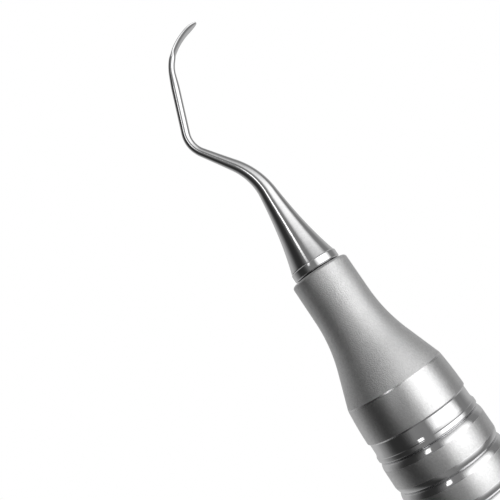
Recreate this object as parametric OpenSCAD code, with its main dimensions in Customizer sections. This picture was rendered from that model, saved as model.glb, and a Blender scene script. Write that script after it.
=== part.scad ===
// Double-ended dental elevator with a hollow, ring-grooved handle.
// The handle lies along X and both working tips bend in the XY plane.
// The origin is the middle of the handle, on its axis.

/* [Handle] */
// Length of the handle between the faces of its two nozzles
handle_len = 118; // [110:1:130]
// Diameter of the barrel at its lands
barrel_d = 10; // [9.6:0.1:10.4]
// Wall thickness of the barrel tube
barrel_wall = 0.8; // [0.7:0.05:0.9]

/* [Grip grooves] */
// Number of ring grooves at each end of the barrel
groove_count = 7; // [4:1:8]
// Distance from one groove to the next, and from the neck seam to the first groove
groove_pitch = 2.85; // [2.6:0.05:3.1]
// Width of a groove between its two lands
groove_w = 1.16; // [0.9:0.02:1.3]
// Depth of the polished bevels on both sides of a groove
groove_depth = 0.16; // [0.1:0.01:0.2]
// Depth of the narrow slit between the two bevels
slit_depth = 0.34; // [0.24:0.02:0.4]
// Width of the narrow slit
slit_w = 0.16; // [0.1:0.02:0.2]

/* [Neck] */
// Diameter of the cylindrical nozzle at the front of the neck
nozzle_d = 5.72; // [5.6:0.02:5.9]
// Length of the cylindrical nozzle
nozzle_len = 3.8; // [3.4:0.1:4.2]
// Radius of the concave flare behind the nozzle
flare_r = 14.5; // [13:0.5:16]
// Slope of the cone that the flare runs out into, in degrees
cone_angle = 19.2; // [18.6:0.1:19.6]
// Distance from the nozzle face to the crease at the end of the cone
crease_x = 11.75; // [11.6:0.05:11.9]
// Distance from the nozzle face to the step down into the colour ring seat
seat_x = 14.98; // [14.8:0.02:15.1]
// Width of the floor of the colour ring seat
seat_w = 1.0; // [0.9:0.02:1.1]
// Depth of the colour ring seat below the satin surface in front of it
seat_depth = 0.13; // [0.1:0.01:0.2]
// Distance from the nozzle face to the seam between neck and barrel
seam_x = 16.9; // [16.8:0.02:17]

/* [Working tip] */
// Diameter of the collar that seats against the nozzle
collar_d = 4.66; // [4.5:0.02:4.8]
// Thickness of the collar
collar_len = 0.85; // [0.8:0.05:0.9]
// Diameter of the tapered cone where it leaves the collar
cone_d = 4.5; // [4.4:0.05:4.6]
// Distance in which the cone's hollow taper falls to about a third
taper_run = 6.8; // [6.4:0.1:7.2]
// Diameter of the slim round shank
shank_d = 0.84; // [0.8:0.02:0.9]
// Diameter of the shank where it meets the blade
blade_root_d = 0.64; // [0.6:0.02:0.7]
// Small lean of the tapered cone out of the handle axis, in degrees
cone_lean = 1.4; // [0:0.2:1.6]
// Angle of the first, gentle bend, in degrees
bend_1_angle = 35; // [33:1:37]
// Radius of the first bend
bend_1_r = 7.1; // [6.7:0.1:7.5]
// Angle of the second, tight bend, in degrees
bend_2_angle = 53.4; // [52:0.2:55]
// Radius of the second bend
bend_2_r = 2.8; // [2.6:0.1:3]
// Length of the blade from the end of the shank to the toe
blade_len = 4.5; // [4.2:0.1:4.8]
// Width of the blade across its face
blade_w = 0.92; // [0.84:0.02:1]
// Thickness of the blade from its face to its back
blade_t = 0.36; // [0.32:0.02:0.44]
// Turn of the blade face out of the plane square to the bends, in degrees
blade_turn = 12; // [0:1:25]

/* [Screw joint] */
// Major diameter of the thread on the tip's tang
thread_d = 2.5; // [2.4:0.1:2.6]
// Length of the threaded part of the tang
thread_len = 5; // [4.6:0.1:5.2]
// Diameter of the plain pilot in front of the thread
pilot_d = 3; // [2.9:0.05:3.1]
// Radial clearance of the pilot and the thread in the socket bush
screw_gap = 0.02; // [0.01:0.01:0.04]

/* [Hidden] */

barrel_r = barrel_d / 2;
bore_r = barrel_r - barrel_wall;
half_len = handle_len / 2;

// Share of a groove bevel's depth that falls in a straight slope; the rest curves down
bevel_straight = 0.3;

// Seam between neck and barrel: the neck falls away to it, and its spigot fills the bore behind it
seam_lip = 0.28;
spigot_len = 5.2;
spigot_wall = 0.6;
spigot_chamfer = 0.3;
spigot_lead = 1.0;
fit_gap = 0.01;

// Flare, satin crown, colour ring seat and ridge of the neck
nozzle_r = nozzle_d / 2;
nozzle_edge = 0.3;
flare_end_x = nozzle_len + flare_r * sin(cone_angle);
flare_end_r = nozzle_r + flare_r * (1 - cos(cone_angle));
crease_r = flare_end_r + (crease_x - flare_end_x) * tan(cone_angle);
crown_drop = 0.055;
crown_r = barrel_r - crown_drop;
seat_r = crown_r - seat_depth;
seat_edge = 0.12;
seat_ramp = 0.24;
ridge_drop = 0.05;
ridge_r = barrel_r - ridge_drop;
ridge_w = 0.44;
ridge_break = 0.05;

// Seal washer in its counterbore at the nozzle face
washer_r = 2.1;
washer_hole_r = 1.62;
washer_stand = 0.12;
washer_sink = 0.24;
washer_gap = 0.01;
washer_fit = 0.05;

// Socket bush, put in from the back of the neck against a shoulder
bush_r = 2.0;
bush_len = 8.2;
bush_flange_r = 2.5;
bush_flange_len = 1.2;
bush_setback = 0.02;
bush_chamfer = 0.15;
bush_front = washer_sink + bush_setback;
bush_back = bush_front + bush_len;
bush_relief = 1.6;

// Tang of the tip, and the bores that take it
pilot_len = 1.5;
relief_len = 0.4;
relief_r = 0.98;
thread_x = pilot_len + relief_len;
tang_end = thread_x + thread_len;
thread_lead = 0.25;
nose = 0.3;
bore_run_out = 0.5;
bore_point = 0.4;
bore_end = tang_end + bore_run_out;

// Collar, and the stretches of the bent shank in front of it
collar_chamfer = 0.1;
core_len = 1.0;
core_inset = 0.2;
collar_back = -washer_stand;
collar_front = collar_back - collar_len;
cone_len = 7.7;
link_len = 3.4;
shank_len = 6.1;
hook_1_angle = 34;
hook_1_r = 4.6;
hook_2_angle = 33;
hook_2_r = 6;
bend_1_len = bend_1_r * bend_1_angle * PI / 180;
bend_2_len = bend_2_r * bend_2_angle * PI / 180;
hook_1_len = hook_1_r * hook_1_angle * PI / 180;
hook_2_len = hook_2_r * hook_2_angle * PI / 180;

// Each stretch of the centre line: its length, and its turn in degrees
STRETCHES = [
    [cone_len, 0],
    [bend_1_len, bend_1_angle],
    [link_len, 0],
    [bend_2_len, -bend_2_angle],
    [shank_len, 0],
    [hook_1_len, -hook_1_angle],
    [hook_2_len, -hook_2_angle]
];
tip_len = cone_len + bend_1_len + link_len + bend_2_len + shank_len + hook_1_len + hook_2_len;

// Diameter that the hollow taper would end at if the shank didn't take over from it
taper_floor = 0.45;

// Stretch in which the shank thins: its length, and how far before the blade it ends
thin_len = 2.4;
thin_lead = 0.8;

// Blade: its length of change from the round shank, the face's share of its thickness,
// and the rounded toe, whose back stays thicker than its edges
blade_run = 0.9;
face_share = 0.52;
toe_len = 1.3;
toe_blunt = 1.04;
toe_back = 0.3;

// Finish of the curved surfaces
sides = 24;
step = 0.28;
round_fn = 96;
arc_steps = 8;
bevel_steps = 4;

// [radius, distance] points of an arc of radius r, whose centre is at distance x and radius y
function arc(x, y, r, from, to) = [for (i = [0:arc_steps]) let (a = from + (to - from) * i / arc_steps)
    [y + r * sin(a), x + r * cos(a)]];

// One polished bevel of a groove: from the land (t = 0) down to the slit (t = 1)
function bevel_r(t) = barrel_r - groove_depth * (bevel_straight * t + (1 - bevel_straight) * t * t);

// The bevel in front of (side -1) or behind (side 1) a slit at distance x, from land to slit
function bevel(x, side) = [for (i = [0:bevel_steps]) let (t = i / bevel_steps)
    [bevel_r(t), x + side * (groove_w / 2 - t * (groove_w - slit_w) / 2)]];
function reversed(list) = [for (i = [len(list) - 1:-1:0]) list[i]];

// Outline of a whole groove centred at distance x, as [radius, distance] points
function groove(x) = concat(bevel(x, -1), [[barrel_r - slit_depth, x]], reversed(bevel(x, 1)));

// Distance from the nozzle face to groove number i, counted from 1
function groove_x(i) = seam_x + i * groove_pitch;

// Turn of the centre line at distance s from the collar, in degrees
function heading_at(s, i = 0) =
    i >= len(STRETCHES) || s <= 0 ? 0
    : s >= STRETCHES[i][0] ? STRETCHES[i][1] + heading_at(s - STRETCHES[i][0], i + 1)
    : STRETCHES[i][1] * s / STRETCHES[i][0];

// Points of the tip's centre line, evenly spaced from the collar to the toe
rings = ceil(tip_len / step);
ds = tip_len / rings;
function walk(i, x, y, done) =
    i > rings ? done
    : let (h = heading_at((i - 0.5) * ds) - cone_lean)
      walk(i + 1, x - ds * cos(h), y - ds * sin(h), concat(done, [[x, y]]));
SPINE = walk(1, collar_front, 0, []);

// Smooth step from 0 to 1 as x goes from 0 to 1
function ease(x) = let (t = max(0, min(1, x))) t * t * (3 - 2 * t);

// How far the section has changed from round shank to blade, from 0 to 1
function blade_mix(s) = ease((s - tip_len + blade_len) / blade_run);

// Diameter of the round shank at distance s from the collar
function shank_d_at(s) = let (
    cone = taper_floor + (cone_d - taper_floor) * exp(-s / taper_run),
    thinned = ease((s - tip_len + blade_len + thin_lead + thin_len) / thin_len)
) max(cone, shank_d) - (shank_d - blade_root_d) * thinned;

// Rounding of the toe, from 1 on the blade down towards 0 at its very end
function toe(s) = let (t = max(0, (s - tip_len + toe_len) / (toe_len * toe_blunt))) sqrt(1 - t * t);

// One point of the section at distance s: across is along Z, out is towards the blade's face
function section(s, a) = let (
    r = shank_d_at(s) / 2,
    m = blade_mix(s),
    across = (1 - m) * r + m * toe(s) * blade_w / 2,
    face = (1 - m) * r + m * blade_t * face_share,
    back = (1 - m) * r + m * blade_t * (1 - face_share) * (toe_back + (1 - toe_back) * toe(s)),
    w = across * cos(a),
    v = sin(a) > 0 ? face * sin(a) * toe(s) : back * sin(a),
    turn = blade_turn * m
) [v * cos(turn) - w * sin(turn), w * cos(turn) + v * sin(turn)];

// A ring of the sweep, square to the centre line
function ring(i) = let (
    s = min(i * ds, tip_len - 0.001),
    h = heading_at(s) - cone_lean,
    p = i < rings ? SPINE[i] : SPINE[rings - 1] - ds * [cos(h), sin(h)]
) [for (k = [0:sides - 1]) let (q = section(s, 360 * k / sides))
    [p[0] - sin(h) * q[0], p[1] + cos(h) * q[0], q[1]]];

// Turns an outline of [radius, distance] points into a solid along +X
module turned(points) rotate([0, 90, 0]) rotate_extrude($fn = round_fn) polygon(points);

// Puts a piece that is drawn from the nozzle face at x = 0 onto end a, or end b
module end_a() translate([-half_len, 0, 0]) children();
module end_b() rotate([0, 0, 180]) mirror([0, 0, 1]) end_a() children();

module barrel_tube() {
    front = concat(
        [[bore_r, seam_x], [barrel_r - slit_depth, seam_x]],
        reversed(bevel(seam_x, 1)),
        [for (i = [1:groove_count]) each groove(groove_x(i))]
    );
    back = [for (p = reversed(front)) [p[0], handle_len - p[1]]];
    color("silver") end_a() turned(concat(front, back));
}

module neck() {
    floor_x = seat_x + seat_edge;
    ramp_x = floor_x + seat_w;
    ridge_x = ramp_x + seat_ramp;
    ridge_end = ridge_x + ridge_w;
    spigot_r = bore_r - fit_gap;
    spigot_end = seam_x + spigot_len;
    pocket_r = washer_r + washer_fit;
    outside = concat(
        [[pocket_r, 0]],
        arc(nozzle_edge, nozzle_r - nozzle_edge, nozzle_edge, 180, 90),
        arc(nozzle_len, nozzle_r + flare_r, flare_r, -90, -90 + cone_angle),
        [for (i = [0:arc_steps]) let (t = i / arc_steps)
            [crease_r + (crown_r - crease_r) * t * (2 - t), crease_x + (seat_x - crease_x) * t]],
        [[seat_r, floor_x], [seat_r, ramp_x]],
        [[ridge_r - ridge_break, ridge_x], [ridge_r, ridge_x + ridge_break]],
        [[ridge_r, ridge_end - ridge_break], [ridge_r - ridge_break, ridge_end]],
        [[barrel_r - seam_lip, seam_x], [spigot_r, seam_x]],
        [[spigot_r, spigot_end - spigot_chamfer], [spigot_r - spigot_chamfer, spigot_end]]
    );
    inside = [
        [bore_r - spigot_wall, spigot_end], [bore_r - spigot_wall, seam_x - spigot_lead],
        [bush_flange_r + fit_gap, bush_back + bush_relief],
        [bush_flange_r + fit_gap, bush_back - bush_flange_len],
        [bush_r + fit_gap, bush_back - bush_flange_len],
        [bush_r + fit_gap, washer_sink], [pocket_r, washer_sink]
    ];
    color("gainsboro") turned(concat(outside, inside));
}

module socket_bush() {
    bore = thread_d / 2 + screw_gap;
    mouth = pilot_d / 2 + screw_gap;
    mouth_end = pilot_len + bush_chamfer;
    flange_x = bush_back - bush_flange_len;
    color("goldenrod") turned([
        [mouth + bush_chamfer, bush_front], [bush_r - bush_chamfer, bush_front],
        [bush_r, bush_front + bush_chamfer], [bush_r, flange_x],
        [bush_flange_r, flange_x], [bush_flange_r, bush_back],
        [0, bush_back], [0, bore_end + bore_point], [bore, bore_end],
        [bore, mouth_end], [mouth, mouth_end], [mouth, bush_front + bush_chamfer]
    ]);
}

module seal_washer() {
    color("dimgray") turned([
        [washer_hole_r, -washer_stand + washer_gap], [washer_r, -washer_stand + washer_gap],
        [washer_r, washer_sink - washer_gap], [washer_hole_r, washer_sink - washer_gap]
    ]);
}

// Collar, pilot and threaded tang of a working tip; the thread is drawn at its major diameter
module tip_root() {
    core_r = shank_d_at(core_len) / 2 - core_inset;
    collar_r = collar_d / 2;
    thread_r = thread_d / 2;
    turned([
        [0, collar_front - core_len], [core_r, collar_front - core_len],
        [core_r, collar_front], [collar_r - collar_chamfer, collar_front],
        [collar_r, collar_front + collar_chamfer], [collar_r, collar_back - collar_chamfer],
        [collar_r - collar_chamfer, collar_back], [pilot_d / 2, collar_back],
        [pilot_d / 2, pilot_len], [relief_r, pilot_len], [relief_r, thread_x],
        [thread_r - thread_lead, thread_x], [thread_r, thread_x + thread_lead],
        [thread_r, tang_end - nose], [thread_r - nose, tang_end], [0, tang_end]
    ]);
}

// Tapered cone, bent shank and blade, swept along the centre line
module tip_shank() {
    points = [for (i = [0:rings]) each ring(i)];
    walls = [for (i = [0:rings - 1]) for (k = [0:sides - 1]) let (
        a = i * sides + k,
        b = i * sides + (k + 1) % sides
    ) [a, a + sides, b + sides, b]];
    root_cap = [for (k = [0:sides - 1]) k];
    toe_cap = [for (k = [sides - 1:-1:0]) rings * sides + k];
    polyhedron(points, concat(walls, [root_cap, toe_cap]));
}

module working_tip() {
    color("lightgray") {
        tip_root();
        tip_shank();
    }
}

barrel_tube();
end_a() neck();  // neck_a
end_b() neck();  // neck_b
end_a() socket_bush();  // socket_bush_a
end_b() socket_bush();  // socket_bush_b
end_a() seal_washer();  // seal_washer_a
end_b() seal_washer();  // seal_washer_b
end_a() working_tip();  // working_tip_a
end_b() working_tip();  // working_tip_b
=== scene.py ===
import math
from collections import namedtuple

import bmesh
import bpy
import numpy as np
from mathutils import Matrix, Vector


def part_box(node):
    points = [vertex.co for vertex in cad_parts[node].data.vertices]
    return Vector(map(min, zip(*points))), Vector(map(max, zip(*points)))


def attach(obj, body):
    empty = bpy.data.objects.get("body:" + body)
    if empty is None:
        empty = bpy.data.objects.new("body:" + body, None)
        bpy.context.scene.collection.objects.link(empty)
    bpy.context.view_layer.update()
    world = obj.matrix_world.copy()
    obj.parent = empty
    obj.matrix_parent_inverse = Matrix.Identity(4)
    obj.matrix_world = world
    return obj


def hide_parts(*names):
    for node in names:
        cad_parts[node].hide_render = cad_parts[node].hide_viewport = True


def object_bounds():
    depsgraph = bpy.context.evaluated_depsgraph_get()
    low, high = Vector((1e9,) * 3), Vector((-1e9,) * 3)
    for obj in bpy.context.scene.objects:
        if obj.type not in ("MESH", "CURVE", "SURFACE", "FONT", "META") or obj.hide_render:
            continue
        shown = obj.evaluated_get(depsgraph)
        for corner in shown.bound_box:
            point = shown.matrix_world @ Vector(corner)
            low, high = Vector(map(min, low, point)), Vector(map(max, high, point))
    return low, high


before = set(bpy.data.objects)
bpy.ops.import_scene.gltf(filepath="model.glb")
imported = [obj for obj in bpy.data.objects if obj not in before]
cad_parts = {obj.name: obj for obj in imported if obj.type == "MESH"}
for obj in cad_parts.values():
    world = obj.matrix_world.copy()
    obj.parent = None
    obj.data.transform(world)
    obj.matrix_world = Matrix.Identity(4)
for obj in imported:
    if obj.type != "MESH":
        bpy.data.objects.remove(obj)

# A double-ended dental elevator with a hollow, ring-grooved steel handle.
# Lengths are millimetres unless a comment says otherwise; MM turns them into metres.
# "Distance" along a piece is counted from the nozzle face of its end: positive into the handle,
# negative towards the toe.

MM = 0.001
cad_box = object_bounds()

# ---------------------------------------------------------------- places from the CAD frame
neck_lo, neck_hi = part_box("neck_a")
barrel_lo, barrel_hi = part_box("barrel_tube")
tip_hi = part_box("working_tip_a")[1]
washer_lo, washer_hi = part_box("seal_washer_a")

NOZZLE_X = neck_lo.x / MM
HANDLE_LEN = -2 * NOZZLE_X
BARREL_R = min(barrel_hi.y, barrel_hi.z) / MM
SEAM = (barrel_lo.x - neck_lo.x) / MM
SPIGOT_END = (neck_hi.x - neck_lo.x) / MM
TANG_END = (tip_hi.x - neck_lo.x) / MM
WASHER_FRONT = (washer_lo.x - neck_lo.x) / MM
WASHER_BACK = (washer_hi.x - neck_lo.x) / MM
WASHER_R = washer_hi.z / MM
FLOOR_Z = cad_box[0].z

# ---------------------------------------------------------------- handle dimensions
# Barrel: each groove is two bevels that run down to a narrow slit
GROOVES = 7
PITCH = 2.85
GROOVE_W = 1.16
GROOVE_DEPTH = 0.16
BEVEL_SLOPE = 0.3
BEVEL_STEPS = 9
SLIT_DEPTH = 0.34
SLIT_W = 0.16
WALL = 0.8
BORE_R = BARREL_R - WALL
BORE_START = 0.5
POLISH_DEPTH = 0.2

# Neck: nozzle, flare, crease, crown, ring seat, ridge, and the spigot inside the barrel
NOZZLE_R = 2.86
NOZZLE_EDGE = 0.3
NOZZLE_EDGE_STEPS = 8
NOZZLE_LEN = 3.8
FLARE_R = 14.5
FLARE_STEPS = 25
CONE_ANGLE = math.radians(19.2)
CREASE = 11.75
CREASE_BAND = 0.07
CREASE_NICK = 0.2
CROWN_START = 0.06
CROWN_STEPS = 17
SEAT = 14.98
SEAT_EDGE = 0.12
SEAT_W = 1.0
SEAT_DEPTH = 0.13
CROWN_R = BARREL_R - 0.055
RIDGE_R = BARREL_R - 0.05
RIDGE_W = 0.44
RIDGE_EDGE = 0.05
SEAT_RAMP = 0.24
NECK_SLIT_DEPTH = 0.28
SPIGOT_R = BORE_R - 0.01
SPIGOT_EDGE = 0.3
SPIGOT_BORE = BORE_R - 0.6
SPIGOT_BORE_START = 1
WASHER_POCKET_R = 2.15
WASHER_POCKET = 0.24
BUSH_R = 2.01
BUSH_FLANGE_R = 2.51
BUSH_FLANGE = 7.26
BUSH_END = 8.46
BUSH_RELIEF = 1.6

# ---------------------------------------------------------------- working tip dimensions
COLLAR_BACK = -0.12
COLLAR_LEN = 0.85
COLLAR_R = 2.33
COLLAR_EDGE = 0.1
CONE_INSET = 0.05
CONE_LEAN = math.radians(1.4)
PILOT_R = 1.5
PILOT_LEN = 1.5
RELIEF_R = 0.98
RELIEF_LEN = 0.4
THREAD_R = 1.25
THREAD_PITCH = 0.45
THREAD_DEPTH = 0.26
THREAD_FLANK = 1.25
THREAD_LEAD = 0.25
THREAD_START = PILOT_LEN + RELIEF_LEN
TANG_NOSE = 0.3
RINGS_PER_TURN = 12
ROOT_EDGE = 0.025

# Stretches of the tip's centre line from the collar to the toe: length, and turn in degrees
STRETCHES = [
    (7.7, 0),
    (7.1 * math.radians(35), 35),
    (3.4, 0),
    (2.8 * math.radians(53.4), -53.4),
    (6.1, 0),
    (4.6 * math.radians(34), -34),
    (6.0 * math.radians(33), -33),
]
TIP_LEN = sum(length for length, turn in STRETCHES)

# Shank: a hollow taper runs out into a slim round stretch, which thins before the blade
CONE_D = 4.5
TAPER_FLOOR = 0.45
TAPER_RUN = 6.8
SHANK_D = 0.84
BLADE_ROOT_D = 0.64
THIN_LEN = 2.4
THIN_LEAD = 0.8
BLADE_LEN = 4.5
BLADE_RUN = 0.9
BLADE_W = 0.92
BLADE_T = 0.36
FACE_SHARE = 0.52
BLADE_TURN = math.radians(12)
TOE_LEN = 1.3
TOE_BACK = 0.3
TOE_BLUNT = 1.04
TOE_STOP = 0.02
RING_STEP = 0.07
RING_POINTS = 72

# Washer
WASHER_HOLE_R = 1.62
WASHER_EDGE = 0.05
WASHER_EDGE_STEPS = 4
WASHER_SEGMENTS = 96


# ---------------------------------------------------------------- mesh helpers
# Corners that turn less than this stay as they are, and none takes more than this share of a side
LEAST_TURN = math.radians(8)
SIDE_SHARE = 0.45
# A radius that stands for the axis itself, and the distance in metres under which points are one
AXIS_R = 0.0001
WELD = 1e-7


def softened(points, radius=0.03, steps=3):
    """The outline with each of its corners rounded off by a small arc-like curve."""
    points = [np.array(p, float) for p in points]
    out = [points[0]]
    for before, corner, after in zip(points, points[1:], points[2:]):
        a, b = before - corner, after - corner
        la, lb = np.linalg.norm(a), np.linalg.norm(b)
        turn = math.acos(max(-1.0, min(1.0, float(-(a @ b) / (la * lb)))))
        if turn < LEAST_TURN:
            out.append(corner)
            continue
        cut = min(radius, SIDE_SHARE * la, SIDE_SHARE * lb)
        start, end = corner + a / la * cut, corner + b / lb * cut
        for i in range(steps + 1):
            t = i / steps
            out.append((1 - t) ** 2 * start + 2 * t * (1 - t) * corner + t * t * end)
    out.append(points[-1])
    return [tuple(p) for p in out]


def grid_mesh(name, rings, closed_ends=False):
    """A tube of quads through rings of points, all rings with the same count of points."""
    count = len(rings[0])
    points = [p for ring in rings for p in ring]
    faces = []
    for i in range(len(rings) - 1):
        for k in range(count):
            a, b = i * count + k, i * count + (k + 1) % count
            faces.append((a, b, b + count, a + count))
    if closed_ends:
        last = (len(rings) - 1) * count
        faces.append(tuple(range(count - 1, -1, -1)))
        faces.append(tuple(range(last, last + count)))
    mesh = bpy.data.meshes.new(name)
    mesh.from_pydata([Vector(p) * MM for p in points], [], faces)
    mesh.update()
    return mesh


def finish_mesh(mesh, sharp=50):
    """Welds doubled points, turns all faces outwards and shades the surface smooth."""
    bm = bmesh.new()
    bm.from_mesh(mesh)
    bmesh.ops.remove_doubles(bm, verts=bm.verts, dist=WELD)
    bmesh.ops.recalc_face_normals(bm, faces=bm.faces)
    for face in bm.faces:
        face.smooth = True
    for edge in bm.edges:
        if len(edge.link_faces) == 2:
            edge.smooth = edge.calc_face_angle() < math.radians(sharp)
    bm.to_mesh(mesh)
    bm.free()
    return mesh


def lathe(name, outline, segments=192):
    """A closed body of revolution about X through an outline of (distance, radius) points."""
    outline = [(max(r, AXIS_R), x) for x, r in outline]
    rings = []
    angles = [2 * math.pi * k / segments for k in range(segments)]
    for r, x in outline + outline[:1]:
        rings.append([(NOZZLE_X + x, r * math.cos(a), r * math.sin(a)) for a in angles])
    return finish_mesh(grid_mesh(name, rings))


def twin(mesh, name):
    """The mesh of the other end: every point goes through the middle, which swaps its hand."""
    other = mesh.copy()
    other.name = name
    other.transform(Matrix.Diagonal((-1, -1, -1, 1)))
    other.flip_normals()
    return other


def piece(mesh, body, node, materials):
    """Puts a mesh on its CAD body in place of the CAD node of that name."""
    obj = bpy.data.objects.new(node + "_finished", mesh)
    bpy.context.scene.collection.objects.link(obj)
    for material in materials:
        mesh.materials.append(material)
    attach(obj, body)
    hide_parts(node)


def piece_at_both_ends(mesh, name, bodies, materials):
    """Puts the mesh made for end a there, and its twin at end b."""
    meshes = (mesh, twin(mesh, name + "_b"))
    for end, made, body in zip("ab", meshes, bodies):
        piece(made, body, name + "_" + end, materials)


def paint(mesh, choose):
    """Gives each face the material that choose names for its distance and its radius."""
    for face in mesh.polygons:
        x = abs(face.center.x) / MM
        r = math.hypot(face.center.y, face.center.z) / MM
        face.material_index = choose(-NOZZLE_X - x, r)


# ---------------------------------------------------------------- materials
# Tone of a blasted surface's dark specks as a share of its own, and how far its gloss wanders
SPECK_TONE = 0.8
CLOUD_SPREAD = 0.03


class Nodes:
    """A short way to write a material's node tree."""

    def __init__(self, name):
        self.material = bpy.data.materials.new(name)
        self.material.use_nodes = True
        self.tree = self.material.node_tree
        self.shader = self.tree.nodes["Principled BSDF"]
        self.place = self.tree.nodes.new("ShaderNodeTexCoord").outputs["Object"]

    def link(self, source, target):
        self.tree.links.new(source, target)

    def noise(self, per_mm, detail=3.0, roughness=0.6, stretch=(1, 1, 1)):
        mapping = self.tree.nodes.new("ShaderNodeMapping")
        mapping.inputs["Scale"].default_value = [per_mm / MM * s for s in stretch]
        self.link(self.place, mapping.inputs["Vector"])
        node = self.tree.nodes.new("ShaderNodeTexNoise")
        node.inputs["Scale"].default_value = 1.0
        node.inputs["Detail"].default_value = detail
        node.inputs["Roughness"].default_value = roughness
        self.link(mapping.outputs["Vector"], node.inputs["Vector"])
        return node.outputs["Fac"]

    def spread(self, source, low, high):
        """The middle of a noise's range, where most of it lies, drawn out from low to high."""
        node = self.tree.nodes.new("ShaderNodeMapRange")
        node.inputs["From Min"].default_value = 0.3
        node.inputs["From Max"].default_value = 0.7
        node.inputs["To Min"].default_value = low
        node.inputs["To Max"].default_value = high
        self.link(source, node.inputs["Value"])
        return node.outputs["Result"]

    def tint(self, source, dark, light):
        node = self.tree.nodes.new("ShaderNodeMix")
        node.data_type = "RGBA"
        node.inputs["A"].default_value = (*dark, 1)
        node.inputs["B"].default_value = (*light, 1)
        self.link(source, node.inputs["Factor"])
        return node.outputs["Result"]

    def bump(self, source, height_mm, under=None):
        node = self.tree.nodes.new("ShaderNodeBump")
        node.inputs["Distance"].default_value = height_mm * MM
        node.inputs["Strength"].default_value = 1.0
        self.link(source, node.inputs["Height"])
        if under is not None:
            self.link(under, node.inputs["Normal"])
        return node.outputs["Normal"]

    def set(self, **values):
        for key, value in values.items():
            socket = self.shader.inputs[key.replace("_", " ")]
            if isinstance(value, bpy.types.NodeSocket):
                self.link(value, socket)
            else:
                socket.default_value = value


def polished_steel():
    """Mirror-polished steel with the faint ripple and hairlines that hand polishing leaves."""
    m = Nodes("polished_steel")
    cloud = m.noise(0.9, detail=4)
    ripple = m.noise(2.2, detail=3.0, roughness=0.65)
    hairs = m.noise(9.0, detail=2.0, stretch=(0.12, 1, 1))
    m.set(
        Metallic=1.0,
        Base_Color=m.tint(m.spread(cloud, 0, 1), (0.77, 0.77, 0.775), (0.83, 0.83, 0.835)),
        Roughness=m.spread(hairs, 0.04, 0.09),
        Normal=m.bump(hairs, 0.0015, under=m.bump(ripple, 0.006)),
    )
    return m.material


def blasted_steel(name, light, rough, grain):
    """Bead-blasted steel: fine pits and dark specks from the beads, and a cloudy gloss."""
    m = Nodes(name)
    pits = m.noise(10.0, detail=2.0, roughness=0.7)
    cloud = m.noise(0.7, detail=3.0)
    speck = m.noise(5.0, detail=4.0, roughness=0.8)
    dark = light * SPECK_TONE
    m.set(
        Metallic=1.0,
        Base_Color=m.tint(m.spread(speck, 0, 1), (dark,) * 3, (light,) * 3),
        Roughness=m.spread(cloud, rough - CLOUD_SPREAD, rough + CLOUD_SPREAD),
        Normal=m.bump(pits, grain),
    )
    return m.material


def turned_steel():
    """Bare steel of the socket bushes, with the fine lines that a lathe tool leaves round them."""
    m = Nodes("turned_steel")
    lines = m.noise(14.0, detail=1.0, stretch=(1, 0.05, 0.05))
    m.set(
        Metallic=1.0,
        Base_Color=m.tint(m.spread(lines, 0, 1), (0.5, 0.5, 0.49), (0.62, 0.62, 0.6)),
        Roughness=m.spread(lines, 0.22, 0.34),
        Normal=m.bump(lines, 0.004),
    )
    return m.material


def seal_rubber():
    """Dull black rubber with a fine moulded grain."""
    m = Nodes("seal_rubber")
    grain = m.noise(12.0)
    m.set(
        Base_Color=m.tint(m.spread(grain, 0, 1), (0.012, 0.012, 0.012), (0.03, 0.03, 0.03)),
        Roughness=m.spread(grain, 0.6, 0.75),
        Normal=m.bump(grain, 0.004),
    )
    return m.material


POLISHED = polished_steel()
SATIN = blasted_steel("satin_steel", light=0.83, rough=0.31, grain=0.018)
BLASTED = blasted_steel("blasted_steel", light=0.86, rough=0.43, grain=0.042)
BURNISHED = blasted_steel("burnished_steel", light=0.84, rough=0.22, grain=0.008)
TURNED = turned_steel()
RUBBER = seal_rubber()


# ---------------------------------------------------------------- handle
def bevel_r(t):
    """Radius of a groove's bevel, from the land at t = 0 down to the slit at t = 1."""
    return BARREL_R - GROOVE_DEPTH * (BEVEL_SLOPE * t + (1 - BEVEL_SLOPE) * t * t)


def half_groove(x, side):
    """The bevel on one side of a groove centred at x, from its land down to its slit."""
    run = (GROOVE_W - SLIT_W) / 2
    shares = np.linspace(0, 1, BEVEL_STEPS)
    return [(x + side * (GROOVE_W / 2 - t * run), bevel_r(t)) for t in shares]


def barrel_outline():
    """Outline of the tube: the front end with its grooves, then the same mirrored."""
    front = [(SEAM + BORE_START, BORE_R), (SEAM, BORE_R), (SEAM, BARREL_R - SLIT_DEPTH)]
    front += half_groove(SEAM, 1)[::-1]
    for i in range(1, GROOVES + 1):
        x = SEAM + i * PITCH
        front += half_groove(x, -1) + [(x, BARREL_R - SLIT_DEPTH)] + half_groove(x, 1)[::-1]
    back = [(HANDLE_LEN - x, r) for x, r in reversed(front)]
    return softened(front + back)


# The neck's faces further out than these, before and after the crease, are its outside
NOZZLE_SKIN_R = NOZZLE_R - 0.35
CROWN_SKIN_R = CROWN_R - SEAT_DEPTH - 0.2
BARREL_MATERIALS = [SATIN, POLISHED]
NECK_MATERIALS = [BLASTED, SATIN, POLISHED, BURNISHED]


def barrel_finish(x, r):
    """Polished inside the grooves, satin everywhere else."""
    from_seam = abs(x - SEAM) % PITCH
    near = min(from_seam, PITCH - from_seam)
    in_grooves = x < SEAM + (GROOVES + 0.5) * PITCH
    polished = in_grooves and near < GROOVE_W / 2 or r < BARREL_R - POLISH_DEPTH
    return BARREL_MATERIALS.index(POLISHED if polished else SATIN)


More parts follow.
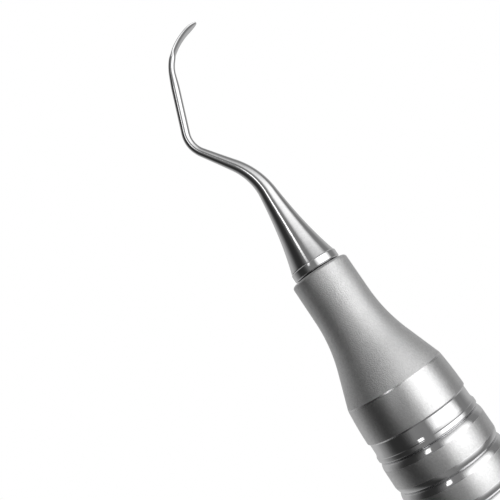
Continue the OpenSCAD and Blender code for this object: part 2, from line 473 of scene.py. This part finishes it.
def neck_outline():
    """Outline of the neck: outside from the nozzle to the spigot, then back along the bore."""
    slope = math.tan(CONE_ANGLE)
    flare_end = NOZZLE_LEN + FLARE_R * math.sin(CONE_ANGLE)
    flare_end_r = NOZZLE_R + FLARE_R * (1 - math.cos(CONE_ANGLE))
    crease_r = flare_end_r + (CREASE - flare_end) * slope
    outside = [(WASHER_POCKET, WASHER_POCKET_R), (0, WASHER_POCKET_R)]
    for a in np.linspace(0, math.pi / 2, NOZZLE_EDGE_STEPS):
        from_corner = NOZZLE_EDGE * (1 - math.sin(a))
        outside.append((NOZZLE_EDGE * (1 - math.cos(a)), NOZZLE_R - from_corner))
    for a in np.linspace(0, CONE_ANGLE, FLARE_STEPS):
        along = NOZZLE_LEN + FLARE_R * math.sin(a)
        outside.append((along, NOZZLE_R + FLARE_R * (1 - math.cos(a))))
    outside.append((CREASE - CREASE_BAND, crease_r - CREASE_BAND * slope))
    outside.append((CREASE, crease_r - CREASE_NICK * CREASE_BAND * slope))
    band_end = CREASE_BAND / (SEAT - CREASE)
    for t in [band_end] + list(np.linspace(CROWN_START, 1, CROWN_STEPS)):
        rise = (CROWN_R - crease_r) * (1 - (1 - t) ** 2)
        outside.append((CREASE + (SEAT - CREASE) * t, crease_r + rise))
    floor = SEAT + SEAT_EDGE
    ramp = floor + SEAT_W
    ridge = ramp + SEAT_RAMP
    ridge_end = ridge + RIDGE_W
    outside += [
        (floor, CROWN_R - SEAT_DEPTH), (ramp, CROWN_R - SEAT_DEPTH),
        (ridge, RIDGE_R - RIDGE_EDGE), (ridge + RIDGE_EDGE, RIDGE_R),
        (ridge_end - RIDGE_EDGE, RIDGE_R), (ridge_end, RIDGE_R - RIDGE_EDGE),
        (SEAM, BARREL_R - NECK_SLIT_DEPTH), (SEAM, SPIGOT_R),
        (SPIGOT_END - SPIGOT_EDGE, SPIGOT_R), (SPIGOT_END, SPIGOT_R - SPIGOT_EDGE),
    ]
    inside = [
        (SPIGOT_END, SPIGOT_BORE), (SEAM - SPIGOT_BORE_START, SPIGOT_BORE),
        (BUSH_END + BUSH_RELIEF, BUSH_FLANGE_R), (BUSH_FLANGE, BUSH_FLANGE_R),
        (BUSH_FLANGE, BUSH_R), (WASHER_POCKET, BUSH_R),
    ]
    return softened(outside + inside)


def neck_finish(x, r):
    """Blasted up to the burnished crease, satin up to the ring seat, polished elsewhere."""
    skin_r = NOZZLE_SKIN_R if x < CREASE else CROWN_SKIN_R
    if x >= SEAM or r <= skin_r:
        finish = POLISHED
    elif abs(x - CREASE) < CREASE_BAND:
        finish = BURNISHED
    elif x < CREASE:
        finish = BLASTED
    else:
        finish = SATIN if x < SEAT else POLISHED
    return NECK_MATERIALS.index(finish)


def build_handle():
    barrel = lathe("barrel_tube", barrel_outline())
    paint(barrel, barrel_finish)
    piece(barrel, "handle", "barrel_tube", BARREL_MATERIALS)
    neck = lathe("neck_a", neck_outline())
    paint(neck, neck_finish)
    piece_at_both_ends(neck, "neck", ("handle", "handle"), NECK_MATERIALS)


# ---------------------------------------------------------------- working tips
def heading_at(s):
    """Direction of the centre line at distance s, as a turn towards -Y from -X."""
    total = -CONE_LEAN
    for length, turn in STRETCHES:
        share = max(0.0, min(1.0, s / length))
        total += math.radians(turn) * share
        s -= length
    return total


def smooth(t):
    """A soft step from 0 to 1 while t goes from 0 to 1."""
    t = max(0.0, min(1.0, t))
    return t * t * (3 - 2 * t)


def shank_diameter(s):
    """Diameter of the round shank at distance s from the collar."""
    cone = TAPER_FLOOR + (CONE_D - TAPER_FLOOR) * math.exp(-s / TAPER_RUN)
    thinned = smooth((s - TIP_LEN + BLADE_LEN + THIN_LEAD + THIN_LEN) / THIN_LEN)
    return max(cone, SHANK_D) - (SHANK_D - BLADE_ROOT_D) * thinned


def section(s, count):
    """Points of the cross-section at distance s: v towards the blade's face, w along Z."""
    m = smooth((s - TIP_LEN + BLADE_LEN) / BLADE_RUN)
    r = (1 - m) * shank_diameter(s) / 2
    into_toe = max(0.0, (s - TIP_LEN + TOE_LEN) / (TOE_LEN * TOE_BLUNT))
    toe = math.sqrt(max(0.0, 1 - into_toe ** 2))
    across = r + m * toe * BLADE_W / 2
    face = (r + m * BLADE_T * FACE_SHARE) * toe
    back = r + m * BLADE_T * (1 - FACE_SHARE) * (TOE_BACK + (1 - TOE_BACK) * toe)
    cos_turn, sin_turn = math.cos(BLADE_TURN * m), math.sin(BLADE_TURN * m)
    points = []
    for k in range(count):
        a = 2 * math.pi * k / count
        w, v = across * math.cos(a), (face if math.sin(a) > 0 else back) * math.sin(a)
        points.append((v * cos_turn - w * sin_turn, w * cos_turn + v * sin_turn))
    return points


def tip_shank_rings():
    """Rings of the sweep from the collar to the toe."""
    number = round(TIP_LEN / RING_STEP)
    ds = TIP_LEN / number
    x, y = NOZZLE_X + COLLAR_BACK - COLLAR_LEN, 0.0
    rings = []
    for i in range(number + 1):
        s = min(i * ds, TIP_LEN - TOE_STOP)
        h = heading_at(s)
        points = section(s, RING_POINTS)
        rings.append([(x - math.sin(h) * v, y + math.cos(h) * v, w) for v, w in points])
        mid = heading_at(s + ds / 2)
        x -= ds * math.cos(mid)
        y -= ds * math.sin(mid)
    return rings


def tip_root_rings():
    """Rings of the collar, pilot and threaded tang, with the thread as a real helix."""
    front = COLLAR_BACK - COLLAR_LEN
    outline = [
        (front, CONE_D / 2 - CONE_INSET), (front, COLLAR_R - COLLAR_EDGE),
        (front + COLLAR_EDGE, COLLAR_R), (COLLAR_BACK - COLLAR_EDGE, COLLAR_R),
        (COLLAR_BACK, COLLAR_R - COLLAR_EDGE), (COLLAR_BACK, PILOT_R),
        (PILOT_LEN, PILOT_R), (PILOT_LEN, RELIEF_R), (THREAD_START, RELIEF_R),
    ]
    angles = [2 * math.pi * k / RING_POINTS for k in range(RING_POINTS)]
    stations = [(x, [r] * RING_POINTS) for x, r in softened(outline, ROOT_EDGE)]
    steps = round((TANG_END - THREAD_START) / (THREAD_PITCH / RINGS_PER_TURN))
    for i in range(steps + 1):
        x = THREAD_START + (TANG_END - THREAD_START) * i / steps
        stations.append((x, [thread_radius(x, a) for a in angles]))
    stations.append((TANG_END, [AXIS_R] * RING_POINTS))
    return [
        [(NOZZLE_X + x, r * math.cos(a), r * math.sin(a)) for r, a in zip(radii, angles)]
        for x, radii in stations
    ]


def thread_radius(x, a):
    """Radius of the thread at distance x and angle a about the axis.

    This helix is left-handed at end a, and its twin at end b is right-handed. Both joints move as
    right-handed screws, so end a's is the wrong way round.
    """
    phase = (x / THREAD_PITCH + a / (2 * math.pi)) % 1
    crest = 1 - min(1.0, abs(2 * phase - 1) * THREAD_FLANK)
    radius = THREAD_R - THREAD_DEPTH + THREAD_DEPTH * crest
    run_in = min(1.0, (x - THREAD_START) / THREAD_LEAD, (TANG_END - x) / TANG_NOSE)
    return min(radius, RELIEF_R + (THREAD_R - RELIEF_R) * max(0.0, run_in))


def build_tips():
    shank = grid_mesh("shank", tip_shank_rings(), closed_ends=True)
    root = grid_mesh("root", tip_root_rings(), closed_ends=True)
    bm = bmesh.new()
    bm.from_mesh(shank)
    bm.from_mesh(root)
    mesh = bpy.data.meshes.new("working_tip_a")
    bm.to_mesh(mesh)
    bm.free()
    finish_mesh(mesh)
    piece_at_both_ends(mesh, "working_tip", ("tip_a", "tip_b"), [POLISHED])


def build_washers():
    start = (WASHER_BACK - 2 * WASHER_EDGE, WASHER_HOLE_R)
    corners = [
        (WASHER_FRONT, WASHER_HOLE_R), (WASHER_FRONT, WASHER_R),
        (WASHER_BACK, WASHER_R), (WASHER_BACK, WASHER_HOLE_R),
    ]
    outline = softened([start] + corners + [start], WASHER_EDGE, WASHER_EDGE_STEPS)[:-1]
    washer = lathe("seal_washer_a", outline, WASHER_SEGMENTS)
    piece_at_both_ends(washer, "seal_washer", ("washer_a", "washer_b"), [RUBBER])


def dress_bushes():
    """The CAD bushes have the right shape already, and get their finish."""
    for node in ("socket_bush_a", "socket_bush_b"):
        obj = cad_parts[node]
        obj.data.materials.clear()
        obj.data.materials.append(TURNED)


# ---------------------------------------------------------------- stage
# Plain studio light: a dim surround with a few soft-edged cards that run along the handle.
# A card's middle, width and edge are in degrees about X, from straight up towards +Y. Its ends are
# the X of the directions where it stops, past 1 where it has no end, and fade is how softly.
Card = namedtuple("Card", "middle width edge brightness ends fade")
KEY_SOFT_BOX = Card(middle=45, width=50, edge=20, brightness=1.7, ends=(-0.5, 0.5), fade=0.35)
BLACK_CARD = Card(middle=-70, width=44, edge=20, brightness=0.03, ends=(-1.2, 1.2), fade=0.1)
TABLE_BOUNCE = Card(middle=180, width=110, edge=20, brightness=0.5, ends=(-1.2, 1.2), fade=0.1)
STRIP_LAMP = Card(middle=-25, width=9, edge=3, brightness=2.0, ends=(-0.6, -0.2), fade=0.1)
CARDS = [KEY_SOFT_BOX, BLACK_CARD, TABLE_BOUNCE, STRIP_LAMP]
SURROUND = 0.22


def build_world():
    """The cards, as the object reflects them, and plain white behind the object."""
    world = bpy.data.worlds.new("studio")
    bpy.context.scene.world = world
    world.use_nodes = True
    nodes, links = world.node_tree.nodes, world.node_tree.links

    def math_node(operation, a, b=None):
        node = nodes.new("ShaderNodeMath")
        node.operation = operation
        for socket, value in zip(node.inputs, (a, b)):
            if isinstance(value, bpy.types.NodeSocket):
                links.new(value, socket)
            elif value is not None:
                socket.default_value = value
        return node.outputs[0]

    def step(source, start, end):
        node = nodes.new("ShaderNodeMapRange")
        node.interpolation_type = "SMOOTHSTEP"
        node.inputs["From Min"].default_value = start
        node.inputs["From Max"].default_value = end
        links.new(source, node.inputs["Value"])
        return node.outputs["Result"]

    split = nodes.new("ShaderNodeSeparateXYZ")
    links.new(nodes.new("ShaderNodeTexCoord").outputs["Generated"], split.inputs[0])
    angle = math_node("ARCTAN2", split.outputs["Y"], split.outputs["Z"])
    level = SURROUND
    for card in CARDS:
        near = math_node("COSINE", math_node("SUBTRACT", angle, math.radians(card.middle)))
        outer = math.cos(math.radians(card.width / 2 + card.edge))
        inner = math.cos(math.radians(max(0, card.width / 2 - card.edge)))
        low, high = card.ends
        after_low = step(split.outputs["X"], low - card.fade, low + card.fade)
        before_high = step(split.outputs["X"], high + card.fade, high - card.fade)
        between = math_node("MULTIPLY", after_low, before_high)
        share = math_node("MULTIPLY", step(near, outer, inner), between)
        kept = math_node("MULTIPLY", math_node("SUBTRACT", 1.0, share), level)
        level = math_node("ADD", kept, math_node("MULTIPLY", share, card.brightness))
    studio = nodes["Background"]
    studio.inputs["Color"].default_value = (1, 1, 1, 1)
    links.new(level, studio.inputs["Strength"])
    white = nodes.new("ShaderNodeBackground")
    white.inputs["Color"].default_value = (1, 1, 1, 1)
    seen = nodes.new("ShaderNodeLightPath")
    mix = nodes.new("ShaderNodeMixShader")
    links.new(seen.outputs["Is Camera Ray"], mix.inputs["Fac"])
    links.new(studio.outputs[0], mix.inputs[1])
    links.new(white.outputs[0], mix.inputs[2])
    links.new(mix.outputs[0], nodes["World Output"].inputs["Surface"])


# Half the floor's side, and how far it lies under the object, in metres
FLOOR_HALF = 2.0
FLOOR_GAP = 0.0002


def build_floor():
    """A white table top that the object lies on, which shows as even white and holds no shadow."""
    z = FLOOR_Z - FLOOR_GAP
    signs = [(-1, -1), (1, -1), (1, 1), (-1, 1)]
    corners = [(FLOOR_HALF * x, FLOOR_HALF * y, z) for x, y in signs]
    mesh = bpy.data.meshes.new("floor")
    mesh.from_pydata(corners, [], [(0, 1, 2, 3)])
    floor = bpy.data.objects.new("floor", mesh)
    bpy.context.scene.collection.objects.link(floor)
    material = bpy.data.materials.new("white_table")
    material.use_nodes = True
    nodes, links = material.node_tree.nodes, material.node_tree.links
    nodes.clear()
    out = nodes.new("ShaderNodeOutputMaterial")
    glow = nodes.new("ShaderNodeEmission")
    clear = nodes.new("ShaderNodeBsdfTransparent")
    seen = nodes.new("ShaderNodeLightPath")
    mix = nodes.new("ShaderNodeMixShader")
    links.new(seen.outputs["Is Camera Ray"], mix.inputs["Fac"])
    links.new(clear.outputs[0], mix.inputs[1])
    links.new(glow.outputs[0], mix.inputs[2])
    links.new(mix.outputs[0], out.inputs["Surface"])
    mesh.materials.append(material)


# Lens and sensor are in millimetres; the clip range is in metres
CAMERA_AIM = Vector((NOZZLE_X - 5.13, -4.18, 0)) * MM
CAMERA_DISTANCE = 60.63 * MM
CAMERA_TILT = math.radians(10.3)
CAMERA_ROLL = math.radians(56.62)
CAMERA_LENS = 47.09
CAMERA_SENSOR = 36
CAMERA_CLIP = (0.002, 10)


def build_camera():
    camera = bpy.data.cameras.new("camera")
    camera.lens = CAMERA_LENS
    camera.sensor_width = CAMERA_SENSOR
    camera.clip_start, camera.clip_end = CAMERA_CLIP
    obj = bpy.data.objects.new("camera", camera)
    bpy.context.scene.collection.objects.link(obj)
    turn = Matrix.Rotation(CAMERA_TILT, 4, "Y") @ Matrix.Rotation(CAMERA_ROLL, 4, "Z")
    back = turn.to_3x3() @ Vector((0, 0, 1))
    obj.matrix_world = Matrix.Translation(CAMERA_AIM + back * CAMERA_DISTANCE) @ turn
    bpy.context.scene.camera = obj


build_handle()
build_tips()
build_washers()
dress_bushes()
build_floor()
build_world()
build_camera()
bpy.context.scene.view_settings.view_transform = "Standard"
